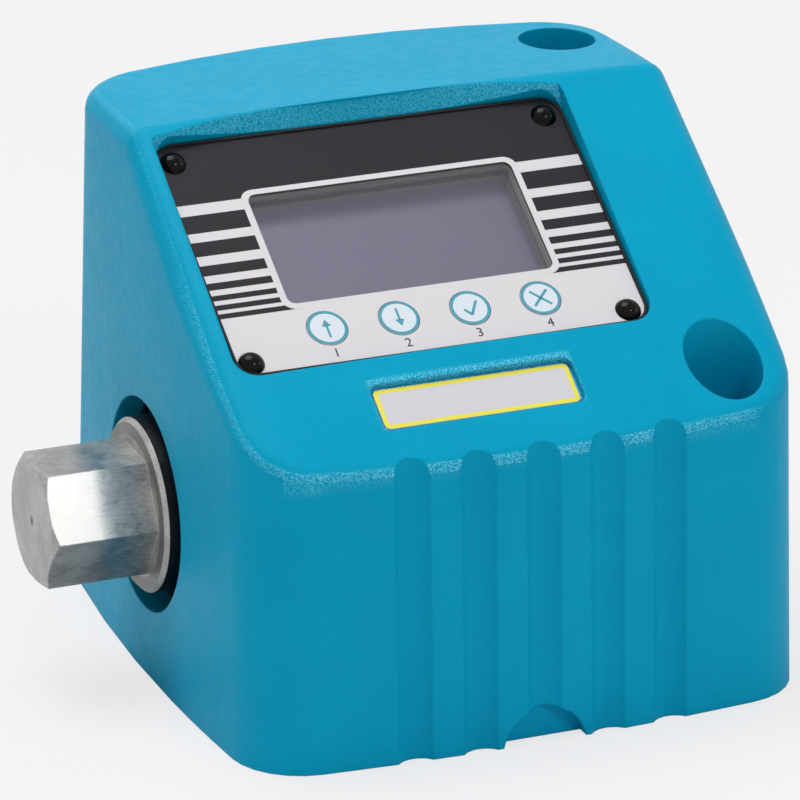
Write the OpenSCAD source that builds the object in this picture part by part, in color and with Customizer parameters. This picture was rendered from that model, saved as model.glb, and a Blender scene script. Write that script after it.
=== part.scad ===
/* [Housing] */
// Width of the housing at its base
base_w = 135.7; // [132:0.1:150]
// Distance of the front wall's foot ahead of the frame's origin
front_reach = 67.5; // [66:0.1:72]
// Distance of the back wall's foot behind the frame's origin
back_reach = 70.1; // [69:0.1:80]
// Height of the housing at the crest of its top
body_h = 125.6; // [120:0.1:136]
// Share of the height at which the sloped face meets the front wall
front_edge_share = 0.54; // [0.52:0.005:0.56]
// Angle of the sloped face above the horizontal
slope_angle = 34.75; // [31:0.25:37]
// Radius of the outward bow of the left and right walls at the base
side_bow_r = 579; // [480:1:2000]
// Radius of the same bow at the top, behind the middle
side_bow_top_r = 886; // [500:1:2000]
// Distance that the crest of the side bow lies ahead of the middle
side_crest = 14.7; // [5:0.1:18]
// Radius of the outward bow of the front wall
front_bow_r = 534; // [400:1:2000]
// Radius of the outward bow of the back wall at the base
back_bow_r = 408; // [260:1:2000]
// Radius of the same bow at the top
back_bow_top_r = 271; // [200:1:2000]
// Radius of the two front corners in plan
corner_front_r = 16.7; // [12:0.1:22]
// Radius of the two back corners in plan at the base
corner_back_r = 6; // [5:0.1:12]
// Radius of the two back corners in plan at the top
corner_top_r = 18.3; // [12:0.1:20]
// Draft of the left and right walls
side_draft = 0.74; // [0:0.01:1.4]
// Draft of the same walls behind the middle
side_draft_back = 1.02; // [0:0.01:1.6]
// Draft of the front wall
front_draft = 2; // [0:0.1:2.5]
// Draft of the back wall
back_draft = 3.4; // [0:0.1:4]
// Radius across the width of the crown on the top and the slope
crown_r = 1890; // [900:10:9000]
// Radius of the rounded edge round the top and the slope
edge_r = 4.8; // [3:0.1:7]
// Thickness of the side walls
wall_t = 7; // [5:0.1:9]
// Thickness of the roof under the top and the slope
roof_t = 8.5; // [7.5:0.1:10]

/* [Front wall] */
// Number of upright flutes
flute_count = 5; // [3:2:7]
// Spacing of the flutes
flute_pitch = 15.3; // [13:0.1:17]
// Width of a flute at the wall
flute_w = 8; // [6:0.1:10]
// Depth of a flute
flute_depth = 1.9; // [1:0.1:2.4]
// Width of the arched notch at the foot
arch_w = 19.7; // [12:0.1:24]
// Height of the arched notch
arch_h = 8.1; // [5:0.1:9.5]
// Depth of the arched notch
arch_depth = 3.7; // [2:0.1:4.5]

/* [Bolt wells] */
// Distance of both bolts to the right of the middle
bolt_x = 49.4; // [48:0.1:51]
// Distance of the front bolt ahead of the middle
bolt_front = 51.1; // [49:0.1:52]
// Distance of the rear bolt behind the middle
bolt_rear = 40.5; // [40:0.1:44]
// Diameter of the wells for the bolt heads
well_d = 17.8; // [17:0.1:18.5]
// Diameter of the bolt holes
bolt_hole_d = 11; // [10.5:0.1:12]
// Height of the seat under a bolt head
bolt_seat_h = 20; // [12:0.5:30]

/* [Panel recess] */
// Distance of the panel's centre to the left of the middle
panel_left = 11.3; // [5:0.1:13]
// Distance from the ridge down the slope to the panel's upper edge
panel_ridge_gap = 6.65; // [6.2:0.05:9]
// Depth of the panel's face below the slope at its centre
panel_sink = 1.85; // [1.2:0.05:2.5]
// Angle by which the panel lies flatter than the slope
panel_tilt = 1.25; // [0:0.05:1.5]
// Gap between the panel and the wall of its recess
recess_gap = 1; // [0.5:0.05:1.5]
// Distance of the sloping recess wall above the panel, at the panel's face
scoop_gap = 1.4; // [1:0.05:2]
// Angle of the sloping recess wall above the panel's face
scoop_angle = 46; // [35:1:70]
// Radius of the arched line of that wall
scoop_r = 300; // [260:10:2000]
// Height of the scoop above the recess
scoop_over = 3.4; // [2.8:0.1:4]
// Corner radius of the scoop
scoop_corner_r = 6; // [5.5:0.1:12]
// Width of the recess floor under each side edge of the panel
panel_rest = 6.3; // [5.9:0.1:7]
// Gap round the display and the keypad in the openings of the recess floor
well_gap = 0.7; // [0.4:0.1:1]

/* [Front panel] */
// Width of the panel
panel_w = 96.6; // [94:0.1:99]
// Height of the panel
panel_h = 63.9; // [62:0.1:66]
// Corner radius of the panel
panel_r = 4.5; // [3:0.1:6]
// Thickness of the panel
panel_t = 2; // [1.5:0.1:2.5]
// Distance of the rivets from the panel's side edges
rivet_inset_x = 3.65; // [3.4:0.05:4.2]
// Distance of the rivets from the panel's upper and lower edges
rivet_inset_y = 3.75; // [3.4:0.05:4.2]
// Shift of the rivets to the left
rivet_left = 0.5; // [0:0.1:0.7]
// Shift of the rivets down the panel
rivet_down = 0.7; // [0:0.1:0.8]
// Diameter of a rivet's head
rivet_head_d = 6; // [5.4:0.1:6.4]
// Height of a rivet's head
rivet_head_h = 2.1; // [1.6:0.1:2.4]
// Diameter of a rivet's shank
rivet_d = 3; // [2.5:0.1:3.2]
// Length of a rivet's shank
rivet_len = 7; // [5:0.1:8]

/* [Display] */
// Width of the window
window_w = 63.2; // [60:0.1:64]
// Height of the window
window_h = 30.8; // [29:0.1:31.2]
// Corner radius of the window
window_r = 2; // [1:0.1:3]
// Distance of the window's lower edge above the centres of the keys
window_over_keys = 7.7; // [7.4:0.1:8.2]
// Thickness of the clear window
window_t = 1.5; // [1:0.1:1.8]
// Depth of the display glass below the panel's face
display_depth = 5.5; // [5:0.1:6.5]
// Gap between the bezel and the collars of the keys
bezel_gap = 0.3; // [0.2:0.1:0.6]
// Thickness of the display glass and its frame
lcd_t = 3.4; // [2.5:0.1:4]
// Thickness of a circuit board
board_t = 1.6; // [1.2:0.1:2]

/* [Keys] */
// Number of keys
key_count = 4; // [4:1:4]
// Spacing of the keys
key_pitch = 16.9; // [16:0.1:17.5]
// Distance of the row of keys above the panel's lower edge
key_row_up = 9.55; // [9.2:0.05:10.5]
// Diameter of a key
key_d = 9.2; // [8.5:0.1:9.6]
// Height of a key above the panel's face
key_proud = 0.15; // [0.05:0.05:0.4]
// Travel of a key
key_travel = 0.4; // [0.2:0.05:0.5]
// Clearance round a key
key_gap = 0.15; // [0.1:0.01:0.2]
// Width of the collar that holds a key under the panel
key_collar = 0.7; // [0.5:0.1:0.9]

/* [Label plate] */
// Width of the label plate
label_w = 46.1; // [40:0.1:50]
// Height of the label plate
label_h = 10.4; // [8:0.1:11.5]
// Corner radius of the label plate
label_r = 1.3; // [0.5:0.1:2]
// Distance of the label plate's centre to the left of the middle
label_left = 9.5; // [5:0.1:12]
// Place of the label's centre between the front edge, 0, and the panel's lower edge, 1
label_share = 0.548; // [0.52:0.002:0.58]
// Depth of the label plate's face below the slope
label_sink = 0.8; // [0.5:0.05:1]
// Thickness of the label plate
label_t = 0.6; // [0.4:0.1:0.8]
// Gap between the label plate and the wall of its recess
label_gap = 0.8; // [0.4:0.1:1]

/* [Drive shaft] */
// Height of the shaft's axis
shaft_h = 40.4; // [39:0.1:42]
// Distance of the shaft's axis behind the middle
shaft_back = 4.2; // [0:0.1:6]
// Size of the drive hexagon across its flats
hex_af = 27; // [24:0.5:30]
// Length of the drive hexagon
hex_len = 24.3; // [18:0.1:28]
// Turn of the hexagon from a flat on top
hex_turn = 2.2; // [0:0.1:30]
// Diameter of the flange and the shaft's body
shaft_d = 39.8; // [37:0.1:40.5]
// Chamfer on the flange's rim
flange_chamfer = 1; // [0.5:0.1:2]
// Height of the flange's face above the left wall
flange_proud = 2.1; // [1:0.1:4]
// Diameter of the measuring section
gauge_d = 27; // [24:0.1:30]
// Length of the measuring section
gauge_len = 32; // [26:0.5:34]
// Radius at both ends of the measuring section
gauge_fillet = 4; // [2:0.1:5]
// Size of the square end across its flats
square_af = 24; // [20:0.1:26]
// Diameter of the shaft ahead of the square end
seat_d = 34; // [32:0.1:36]

/* [Bearing and anchor] */
// Diameter of the bore in the left wall
bore_d = 49; // [47:0.1:50]
// Depth of the black ring's face below the left wall
ring_sink = 6.9; // [5:0.1:9]
// Thickness of the black ring
ring_t = 5; // [3:0.1:6]
// Length of the bearing bush
bush_len = 16; // [12:0.1:18]
// Running clearance between shaft and bush
bush_gap = 0.04; // [0.02:0.01:0.08]
// Gap between a ring or bush and its bore
seat_gap = 0.05; // [0.02:0.01:0.1]
// Diameter of the boss round the bore
boss_d = 62; // [60:0.5:66]
// Thickness of the retaining clip
clip_t = 1.75; // [1.5:0.05:2]
// Depth of the clip's groove
clip_depth = 1.25; // [1:0.05:1.5]
// Width of the anchor block
anchor_w = 66; // [62:0.5:68]
// Thickness of the anchor block
anchor_t = 14; // [12:0.5:16]
// Spacing of the anchor screws
anchor_pitch = 45; // [44:0.5:46]
// Diameter of an anchor screw
anchor_screw_d = 8; // [6:0.5:8]
// Depth of an anchor screw in the housing
anchor_grip = 12; // [10:0.5:13]

/* [Underside] */
// Distance of the bulkhead's face to the right of the middle
bulkhead_x = 32; // [30:0.5:33]
// Thickness of the cover plate
cover_t = 3; // [2:0.1:4]
// Width of the ledge round the cover plate
cover_ledge = 3.5; // [2.5:0.1:4]
// Gap round the cover plate
cover_gap = 0.3; // [0.2:0.05:0.5]
// Corner radius of the hollow in plan
hollow_r = 9; // [6:0.5:12]
// Diameter of the bosses for the cover's screws
post_d = 11; // [9:0.5:12]
// Diameter of a cover screw
cover_screw_d = 4; // [3:0.5:5]

/* [Circuit boards] */
// Width of the main board
main_w = 70; // [60:1:74]
// Gap between the main board and the roof
main_gap = 2.1; // [1.5:0.1:4]
// Length of the spacers behind the main board
spacer_len = 6; // [4:0.5:8]
// Diameter of a spacer
spacer_d = 6; // [5:0.1:7]
// Diameter of a board screw
board_screw_d = 3; // [2.5:0.1:3]

/* [Rear sockets] */
// Width of the flat recess in the back wall
rear_w = 82; // [80:0.5:90]
// Height of the flat recess in the back wall
rear_h = 26; // [24:0.5:32]
// Height of the recess's centre
rear_up = 34; // [30:0.5:40]
// Thickness of the wall behind the recess
rear_wall = 3.5; // [2.5:0.1:4.5]
// Distance of the data socket from the middle
data_x = 24; // [22:0.5:26]
// Distance of the power inlet from the middle
inlet_x = 3; // [0:0.5:4]
// Distance of the power switch from the middle
switch_x = 24; // [22:0.5:26]
// Diameter of the power inlet's thread
inlet_d = 11; // [9:0.1:12]
// Bore of the power inlet
inlet_bore_d = 6.4; // [5.5:0.1:7]
// Width of the rocker
rocker_w = 17; // [14:0.1:18]
// Height of the rocker
rocker_h = 10.6; // [9:0.1:12]
// Tilt of the rocker at rest
rocker_tilt = 8; // [5:0.5:9]
// Diameter of the rocker's pivot
pivot_d = 2.4; // [2:0.1:3]

/* [Hidden] */
$fn = 64;

half_w = base_w / 2;
through = 200;
cut_h = 20;
skin = 0.01;

// Lines of the sloped face in the side view
front_edge_h = body_h * front_edge_share;
front_edge_y = -front_reach + front_edge_h * tan(front_draft);
ridge_y = front_edge_y + (body_h - front_edge_h) / tan(slope_angle);
slope_len = (body_h - front_edge_h) / sin(slope_angle);
panel_up = slope_len - panel_ridge_gap - panel_h / 2;
label_up = label_share * (panel_up - panel_h / 2);
key_down_by = panel_h / 2 - key_row_up;
window_up = window_over_keys + window_h / 2 - key_down_by;
function slope_z(y) = front_edge_h + (y - front_edge_y) * tan(slope_angle);
function crown_drop(x) = x * x / (2 * crown_r);

// Points along an arc from angle a0 to a1, without the last one
function arc(centre, r, a0, a1, count) =
    [for (i = [0:count - 1]) let (a = a0 + (a1 - a0) * i / count) centre + r * [cos(a), sin(a)]];

// A quarter of the plan: side bow, corner and end bow, each tangent to the next
function quarter(hw, hd, side_r, end_r, corner_r, crest) =
    let (
        side_c = [hw - side_r, crest],
        end_c = [0, hd - end_r],
        span = norm(end_c - side_c),
        along = (pow(side_r - corner_r, 2) - pow(end_r - corner_r, 2) + span * span) / (2 * span),
        off = sqrt(pow(side_r - corner_r, 2) - along * along),
        u = (end_c - side_c) / span,
        pick = side_c + along * u + off * [-u.y, u.x],
        other = side_c + along * u - off * [-u.y, u.x],
        c = pick.x + pick.y > other.x + other.y ? pick : other,
        a1 = atan2(c.y - side_c.y, c.x - side_c.x),
        a2 = atan2(c.y - end_c.y, c.x - end_c.x)
    )
    concat(
        arc(side_c, side_r, 0, a1, 3),
        arc(c, corner_r, a1, a2, 6),
        arc(end_c, end_r, a2, 90, 3),
        [[0, hd]]
    );
function reversed(list) = [for (i = [len(list) - 1:-1:0]) list[i]];
function mirrored(list, sx, sy) = [for (p = list) [p.x * sx, p.y * sy]];

// The whole plan, set in by a distance, with the given bows and corners of its back half
function plan(inset, side_r, back_r, corner_r, crest) =
    let (
        back = quarter(half_w - inset, back_reach - inset, side_r - inset, back_r - inset, corner_r - inset, -crest),
        front = quarter(half_w - inset, front_reach - inset, side_bow_r - inset, front_bow_r - inset,
            corner_front_r - inset, side_crest)
    )
    concat(back, reversed(mirrored(back, -1, 1)), mirrored(front, -1, -1), reversed(mirrored(front, 1, -1)));

// Centre of the edge rounding above a point of the plan that was set in by the edge radius
function edge_centre(p) =
    let (
        rate_x = tan(p.y < 0 ? side_draft : side_draft_back) / half_w,
        rate_y = p.y < 0 ? tan(front_draft) / front_reach : tan(back_draft) / back_reach,
        top = body_h - edge_r - crown_drop(p.x),
        m = tan(slope_angle),
        start = slope_z(0) - edge_r / cos(slope_angle) - crown_drop(p.x),
        on_slope = (start + m * p.y) / (1 + m * p.y * rate_y),
        z = min(top, on_slope)
    )
    [p.x * (1 - rate_x * z), p.y * (1 - rate_y * z), z];

// Centres of the rounding along the ridge between slope and top
ridge_centre_y = ridge_y - edge_r * tan(slope_angle / 2);
ridge_half = half_w - edge_r - pow(ridge_centre_y, 2) / (2 * side_bow_top_r) - body_h * tan(side_draft_back);
ridge_centres = [for (i = [-4:4]) let (x = ridge_half * i / 4) [x, ridge_centre_y,
    body_h - edge_r - crown_drop(x)]];

module rounded_rect(w, h, r) {
    for (s = [-1, 1]) {
        square([w - 2 * r * (s + 1) / 2, h + 2 * r * (s - 1) / 2], center = true);
        for (t = [-1, 1]) translate([s * (w / 2 - r), t * (h / 2 - r)]) circle(r);
    }
}

module slab(w, h, t, r) {
    linear_extrude(t) rounded_rect(w, h, r);
}

module ring(outer_d, inner_d, t) {
    difference() {
        cylinder(d = outer_d, h = t);
        translate([0, 0, -1]) cylinder(d = inner_d, h = t + 2);
    }
}

// Places: the slope, the panel, the shaft and the rear recess
module on_slope(x, up) {
    translate([x, front_edge_y, front_edge_h]) rotate([slope_angle, 0, 0])
        translate([0, up, -crown_drop(x)]) children();
}

module on_panel() {
    on_slope(-panel_left, panel_up) translate([0, 0, crown_drop(panel_left) - panel_sink])
        rotate([-panel_tilt, 0, 0]) children();
}

module on_shaft(x) {
    translate([x, shaft_back, shaft_h]) rotate([0, 90, 0]) children();
}

// Local x points left, local y points up and local z points out of the back
module on_rear(x, out = 0) {
    translate([x, rear_y + out, rear_up]) rotate([-90, 180, 0]) children();
}

// Left wall where the shaft leaves it
wall_x = -half_w + pow(shaft_back + side_crest, 2) / (2 * side_bow_r) + shaft_h * tan(side_draft);
flange_x = wall_x - flange_proud;
ring_x = wall_x + ring_sink;
bush_x = ring_x + ring_t;
clip_x = bush_x + bush_len;
boss_x = clip_x - 1;
gauge_x = clip_x + clip_t + 3;
seat_x = gauge_x + gauge_len;
anchor_x = bulkhead_x - anchor_t;

// The hollow under the housing
hollow_x0 = -half_w + wall_t + 3.5;
hollow_w = bulkhead_x - hollow_x0;
hollow_y0 = -front_reach + wall_t + arch_depth / 2;
rear_y = back_reach - wall_t;
hollow_y1 = rear_y - rear_wall;
hollow_h = hollow_y1 - hollow_y0;
hollow_c = [hollow_x0 + hollow_w / 2, hollow_y0 + hollow_h / 2];
post_inset = post_d / 2 - 0.5;
cover_screw_at = [for (x = [-1, 0, 1], y = [-1, 1])
    hollow_c + [x * (hollow_w / 2 - post_inset), y * (hollow_h / 2 - post_inset)]];
post_top = 20;

module hollow() {
    intersection() {
        translate([hollow_c.x, hollow_c.y, -1]) slab(hollow_w, hollow_h, through, hollow_r);
        translate([-through / 2, 0, 0]) rotate([90, 0, 90]) linear_extrude(through)
            polygon([
                [-front_reach, -2],
                [-front_reach, slope_z(-front_reach) - roof_t / cos(slope_angle)],
                [ridge_y, body_h - roof_t],
                [hollow_y1 - wall_t, body_h - roof_t],
                [hollow_y1 + 1, rear_up + rear_h / 2],
                [hollow_y1 + 1, -2]
            ]);
    }
}

// Outer body with its rounded edges
module shell() {
    hull() {
        linear_extrude(0.5) polygon(plan(0, side_bow_r, back_bow_r, corner_back_r, side_crest));
        for (p = plan(edge_r, side_bow_top_r, back_bow_top_r, corner_top_r, 0))
            translate(edge_centre(p)) sphere(edge_r, $fn = 24);
        for (c = ridge_centres) translate(c) sphere(edge_r, $fn = 24);
    }
}

flute_r = (flute_w * flute_w / 4 + flute_depth * flute_depth) / (2 * flute_depth);
arch_r = (arch_w * arch_w / 4 + arch_h * arch_h) / (2 * arch_h);

module flutes() {
    for (i = [0:flute_count - 1])
        let (x = (i - (flute_count - 1) / 2) * flute_pitch)
            translate([x, -front_reach + x * x / (2 * front_bow_r) + flute_depth - flute_r, -1])
                rotate([-front_draft, 0, 0]) cylinder(r = flute_r, h = through / 2);
}

module foot_arch() {
    translate([0, -front_reach - 1, arch_h - arch_r]) rotate([-90, 0, 0])
        cylinder(r = arch_r, h = arch_depth + 1);
}

scoop_rise = 8;
module panel_recess() {
    on_panel() {
        translate([0, 0, -panel_t])
            slab(panel_w + 2 * recess_gap, panel_h + 2 * recess_gap, cut_h, panel_r + recess_gap);
        intersection() {
            translate([0, panel_h / 2 + scoop_gap - scoop_r, 0])
                cylinder(r1 = scoop_r, r2 = scoop_r + scoop_rise / tan(scoop_angle), h = scoop_rise, $fn = 360);
            translate([0, scoop_over / 2, -1])
                slab(panel_w + 2 * recess_gap, panel_h + 2 * recess_gap + scoop_over, cut_h, scoop_corner_r);
        }
        translate([0, window_up, -through / 8])
            slab(panel_w - 2 * panel_rest, display_board_h + 2 * well_gap, through / 8, 3);
        translate([0, -key_down_by, -through / 8])
            slab(keypad_w + 2 * well_gap, key_d + 2 * key_collar + 2 * well_gap, through / 8, 2);
        rivet_places() translate([0, 0, -panel_t - rivet_len]) cylinder(d = rivet_d + 0.1, h = rivet_len + 1);
    }
}

module rivet_places() {
    for (x = [-1, 1], y = [-1, 1])
        translate([x * (panel_w / 2 - rivet_inset_x) - rivet_left, y * (panel_h / 2 - rivet_inset_y) - rivet_down, 0])
            children();
}

module label_recess() {
    on_slope(-label_left, label_up) translate([0, 0, -label_sink - label_t])
        slab(label_w + 2 * label_gap, label_h + 2 * label_gap, cut_h / 2, label_r + label_gap);
}

module bolt_wells() {
    for (y = [-bolt_front, bolt_rear]) translate([bolt_x, y, 0]) {
        translate([0, 0, bolt_seat_h]) cylinder(d = well_d, h = through);
        translate([0, 0, -1]) cylinder(d = bolt_hole_d, h = through / 2);
    }
}

module anchor_places() {
    for (x = [-1, 1], y = [-1, 1]) translate([x * anchor_pitch / 2, y * anchor_pitch / 2, 0]) children();
}

main_x = hollow_x0 + hollow_w / 2;
main_y = hollow_y0 + spacer_len;
main_foot = post_top + 2;
main_h = slope_z(main_y) - roof_t / cos(slope_angle) - main_gap - main_foot;
main_z = main_foot + main_h / 2;
board_hole_inset = 5;
board_grip = 2.6;
module main_places() {
    for (x = [-1, 1], z = [-1, 1])
        translate([main_x + x * (main_w / 2 - board_hole_inset), 0, main_z + z * (main_h / 2 - board_hole_inset)])
            rotate([-90, 0, 0]) children();
}

module housing() {
    color("#0a8fb4") difference() {
        shell();
        difference() {
            hollow();
            on_shaft(-half_w) cylinder(d = boss_d, h = half_w + boss_x);
            for (p = cover_screw_at) translate([p.x, p.y, 0]) cylinder(d = post_d, h = post_top);
        }
        translate([hollow_c.x, hollow_c.y, -1])
            slab(hollow_w + 2 * cover_ledge, hollow_h + 2 * cover_ledge, cover_t + 1, hollow_r + cover_ledge);
        for (p = cover_screw_at) translate([p.x, p.y, 0]) cylinder(d = cover_screw_d + 0.1, h = post_top - 2);
        on_shaft(-half_w - 5) cylinder(d = bore_d, h = half_w + 5 + boss_x + 1);
        on_shaft(bulkhead_x - 1) anchor_places() cylinder(d = anchor_screw_d + 0.1, h = anchor_grip + 1);
        translate([0, hollow_y0 - board_grip - 0.5, 0]) main_places() cylinder(d = board_screw_d + 0.1, h = board_grip + 1.5);
        flutes();
        foot_arch();
        panel_recess();
        label_recess();
        bolt_wells();
        on_rear(0) slab(rear_w, rear_h, 20, 3);
        on_rear(-data_x, -10) slab(data_body_w + 0.4, data_body_h + 0.4, 20, 1);
        on_rear(-data_x, -10) data_post_places() cylinder(d = data_post_d + 0.1, h = 20);
        on_rear(inlet_x, -10) cylinder(d = inlet_d + 0.1, h = 20);
        on_rear(switch_x, -switch_depth - 1) slab(switch_body_w + 0.2, switch_body_h + 0.2, switch_depth + 10, 1);
    }
}

module cover_plate() {
    color("#8c9094") difference() {
        translate([hollow_c.x, hollow_c.y, 0])
            slab(hollow_w + 2 * (cover_ledge - cover_gap), hollow_h + 2 * (cover_ledge - cover_gap), cover_t,
                hollow_r + cover_ledge - cover_gap);
        for (p = cover_screw_at) translate([p.x, p.y, -1]) {
            cylinder(d = cover_screw_d + 0.4, h = cover_t + 2);
            cylinder(d1 = 2 * cover_screw_d + 2.4, d2 = cover_screw_d + 0.4, h = cover_screw_d / 2 + 1);
        }
    }
}

// Countersunk screws
cover_screw_len = 12;
module cover_screws() {
    color("#55585c") for (p = cover_screw_at) translate([p.x, p.y, 0]) difference() {
        union() {
            cylinder(d1 = 2 * cover_screw_d, d2 = cover_screw_d, h = cover_screw_d / 2);
            cylinder(d = cover_screw_d, h = cover_screw_len);
        }
        translate([0, 0, -1]) cylinder(d = cover_screw_d * 0.7, h = 2.2, $fn = 6);
    }
}

// Measuring shaft in one piece with its flange, drive hexagon and square end
module drive_shaft() {
    hex_r = hex_af / 2 / cos(30);
    face_r = hex_af / 2 + 0.2;
    body_r = shaft_d / 2;
    gauge_r = gauge_d / 2;
    color("#b9bcc0") {
        on_shaft(flange_x - hex_len) intersection() {
            rotate([0, 0, 30 + hex_turn]) cylinder(r = hex_r, h = hex_len + 2, $fn = 6);
            rotate_extrude($fn = 96) polygon([
                [0, 0],
                [face_r, 0],
                [hex_r + 1, (hex_r + 1 - face_r) * tan(30)],
                [hex_r + 1, hex_len + 2],
                [0, hex_len + 2]
            ]);
        }
        on_shaft(0) difference() {
            rotate_extrude($fn = 96) polygon([
                [0, flange_x],
                [body_r - flange_chamfer, flange_x],
                [body_r, flange_x + flange_chamfer],
                [body_r, clip_x + 0.1],
                [body_r - clip_depth, clip_x + 0.1],
                [body_r - clip_depth, clip_x + 0.2 + clip_t],
                [body_r, clip_x + 0.2 + clip_t],
                [body_r, gauge_x - gauge_fillet],
                for (a = [0:15:90])
                    [gauge_r + (body_r - gauge_r) * (1 - sin(a)), gauge_x - gauge_fillet * cos(a)],
                for (a = [0:15:90])
                    [gauge_r + (seat_d / 2 - gauge_r) * (1 - cos(a)), seat_x + gauge_fillet * sin(a)],
                [seat_d / 2, anchor_x - 0.2],
                [0, anchor_x - 0.2]
            ]);
            translate([0, 0, flange_x - hex_len - 1]) cylinder(d1 = 4, d2 = 0, h = 2.5);
        }
        on_shaft(anchor_x - 1) translate([-square_af / 2, -square_af / 2, 0])
            cube([square_af, square_af, anchor_t + 0.6]);
    }
}

module shaft_bush() {
    color("#b08d57") on_shaft(bush_x) ring(bore_d - 2 * seat_gap, shaft_d + 2 * bush_gap, bush_len);
}

// Black ring that closes the bore in front of the bush
module bore_ring() {
    color("#1d1e20") on_shaft(ring_x) difference() {
        ring(bore_d - 2 * seat_gap, shaft_d + 0.4, ring_t);
        for (a = [45:90:315]) rotate([0, 0, a]) translate([(bore_d + shaft_d) / 4, 0, -1])
            cylinder(d = 2.2, h = 3);
    }
}

// Open retaining ring in the groove of the shaft
module shaft_clip() {
    clip_w = 3.5;
    color("#3a3c40") on_shaft(clip_x + 0.15) difference() {
        ring(shaft_d + 2 * clip_w - 2 * clip_depth, shaft_d - 2 * clip_depth + 0.1, clip_t);
        translate([-through / 2, -4, -1]) cube([through / 2, 8, clip_t + 2]);
    }
}

module anchor_block() {
    chamfer = 5;
    color("#74787c") on_shaft(anchor_x) difference() {
        linear_extrude(anchor_t) polygon([
            for (q = [0:3]) let (s = q < 2 ? 1 : -1, t = q == 0 || q == 3 ? 1 : -1, k = q % 2)
                for (j = [0, 1]) let (cx = j == k ? 0 : chamfer, cy = chamfer - cx)
                    [s * (anchor_w / 2 - cy), t * (anchor_w / 2 - cx)]
        ]);
        translate([-square_af / 2 - 0.05, -square_af / 2 - 0.05, -1])
            cube([square_af + 0.1, square_af + 0.1, anchor_t + 2]);
        anchor_places() translate([0, 0, -1]) cylinder(d = anchor_screw_d + 0.6, h = anchor_t + 2);
    }
}

// Cap screws with hexagon sockets
module anchor_screws() {
    head_d = anchor_screw_d * 1.6;
    color("#2b2d30") on_shaft(anchor_x) anchor_places() difference() {
        union() {
            translate([0, 0, -anchor_screw_d]) cylinder(d = head_d, h = anchor_screw_d);
            translate([0, 0, -skin]) cylinder(d = anchor_screw_d, h = anchor_t + anchor_grip - 2);
        }
        translate([0, 0, -anchor_screw_d - 1])
            cylinder(d = anchor_screw_d * 0.86, h = anchor_screw_d / 2 + 1, $fn = 6);
    }
}

// Foil gauges bonded round the measuring section
patch = 9;
patch_t = 0.4;
module strain_gauges() {
    color("#c98b3a") on_shaft(gauge_x + gauge_len / 2 - patch / 2) intersection() {
        ring(gauge_d + 2 * patch_t, gauge_d + 0.04, patch);
        for (a = [0:90:270]) rotate([0, 0, a]) translate([0, -patch / 2, 0]) cube([gauge_d, patch, patch]);
    }
}

key_x = [for (i = [0:key_count - 1]) (i - (key_count - 1) / 2) * key_pitch];
keypad_w = key_pitch * key_count + 8;

module panel_plate() {
    color("#dcdbe0") on_panel() difference() {
        translate([0, 0, -panel_t]) slab(panel_w, panel_h, panel_t, panel_r);
        translate([0, window_up, -panel_t - 1]) slab(window_w, window_h, panel_t + 2, window_r);
        for (x = key_x) translate([x, -key_down_by, -panel_t - 1])
            cylinder(d = key_d + 2 * key_gap, h = panel_t + 2);
        rivet_places() translate([0, 0, -panel_t - 1]) cylinder(d = rivet_d + 0.2, h = panel_t + 2);
    }
}

// Domed heads on plain shanks
module panel_rivets() {
    dome_r = (rivet_head_d * rivet_head_d / 4 + rivet_head_h * rivet_head_h) / (2 * rivet_head_h);
    color("#141416") on_panel() rivet_places() {
        rotate_extrude() intersection() {
            translate([0, rivet_head_h - dome_r]) circle(dome_r, $fn = 96);
            square([rivet_head_d, rivet_head_h]);
        }
        translate([0, 0, -panel_t - rivet_len + 0.5]) cylinder(d = rivet_d, h = panel_t + rivet_len - 0.4);
    }
}

module display_window() {
    color("#8f92a6", 0.4) on_panel() translate([0, window_up, -panel_t])
        slab(window_w - 0.1, window_h - 0.1, window_t, window_r - 0.05);
}

// The bezel's rim ends just above the keys
bezel_rim = window_over_keys - key_d / 2 - key_collar - bezel_gap;
bezel_w = window_w + 2 * bezel_rim;
bezel_h = window_h + 2 * bezel_rim;
module display_bezel() {
    bezel_t = display_depth - panel_t;
    color("#55545a") on_panel() translate([0, window_up, -display_depth]) difference() {
        slab(bezel_w, bezel_h, bezel_t, window_r + 1);
        translate([0, 0, -1]) slab(window_w - 1, window_h - 1, bezel_t + 2, window_r - 0.5);
    }
}

module lcd_module() {
    color("#74727f") on_panel() translate([0, window_up, -display_depth - lcd_t]) {
        slab(bezel_w - 1, bezel_h - 1, lcd_t, 1);
        translate([0, -bezel_h / 2 - 1.2, 0]) slab(bezel_w / 2, 4, 1, 0.5);
    }
}

// Carries the display and its drivers
display_board_w = panel_w - 2 * panel_rest - 2 * well_gap;
display_board_h = bezel_h + 6;
chip_w = 10;
chip_t = 2.4;
chip_pitch = 20;
module display_board() {
    color("#1f6b45") on_panel() translate([0, window_up, -display_depth - lcd_t - board_t]) {
        slab(display_board_w, display_board_h, board_t, 2);
        for (x = [-1, 0, 1]) translate([x * chip_pitch, -chip_w / 2, -chip_t]) slab(chip_w, chip_w, chip_t + skin, 0.5);
    }
}

// A key: cap flush with the panel, collar below it
module key(index) {
    on_panel() translate([key_x[index], -key_down_by, 0]) {
        translate([0, 0, -panel_t - 0.1 - key_collar]) cylinder(d = key_d + 2 * key_collar, h = key_collar);
        translate([0, 0, -panel_t - 0.1 - skin]) cylinder(d = key_d, h = panel_t + 0.1 + skin + key_proud - 0.1);
        translate([0, 0, key_proud - 0.1]) cylinder(d1 = key_d, d2 = key_d - 0.2, h = 0.1);
    }
}

module key_up() {
    color("#eef2f6") key(0);
}

module key_down() {
    color("#eef2f6") key(1);
}

module key_tick() {
    color("#eef2f6") key(2);
}

module key_cross() {
    color("#eef2f6") key(3);
}

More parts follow.
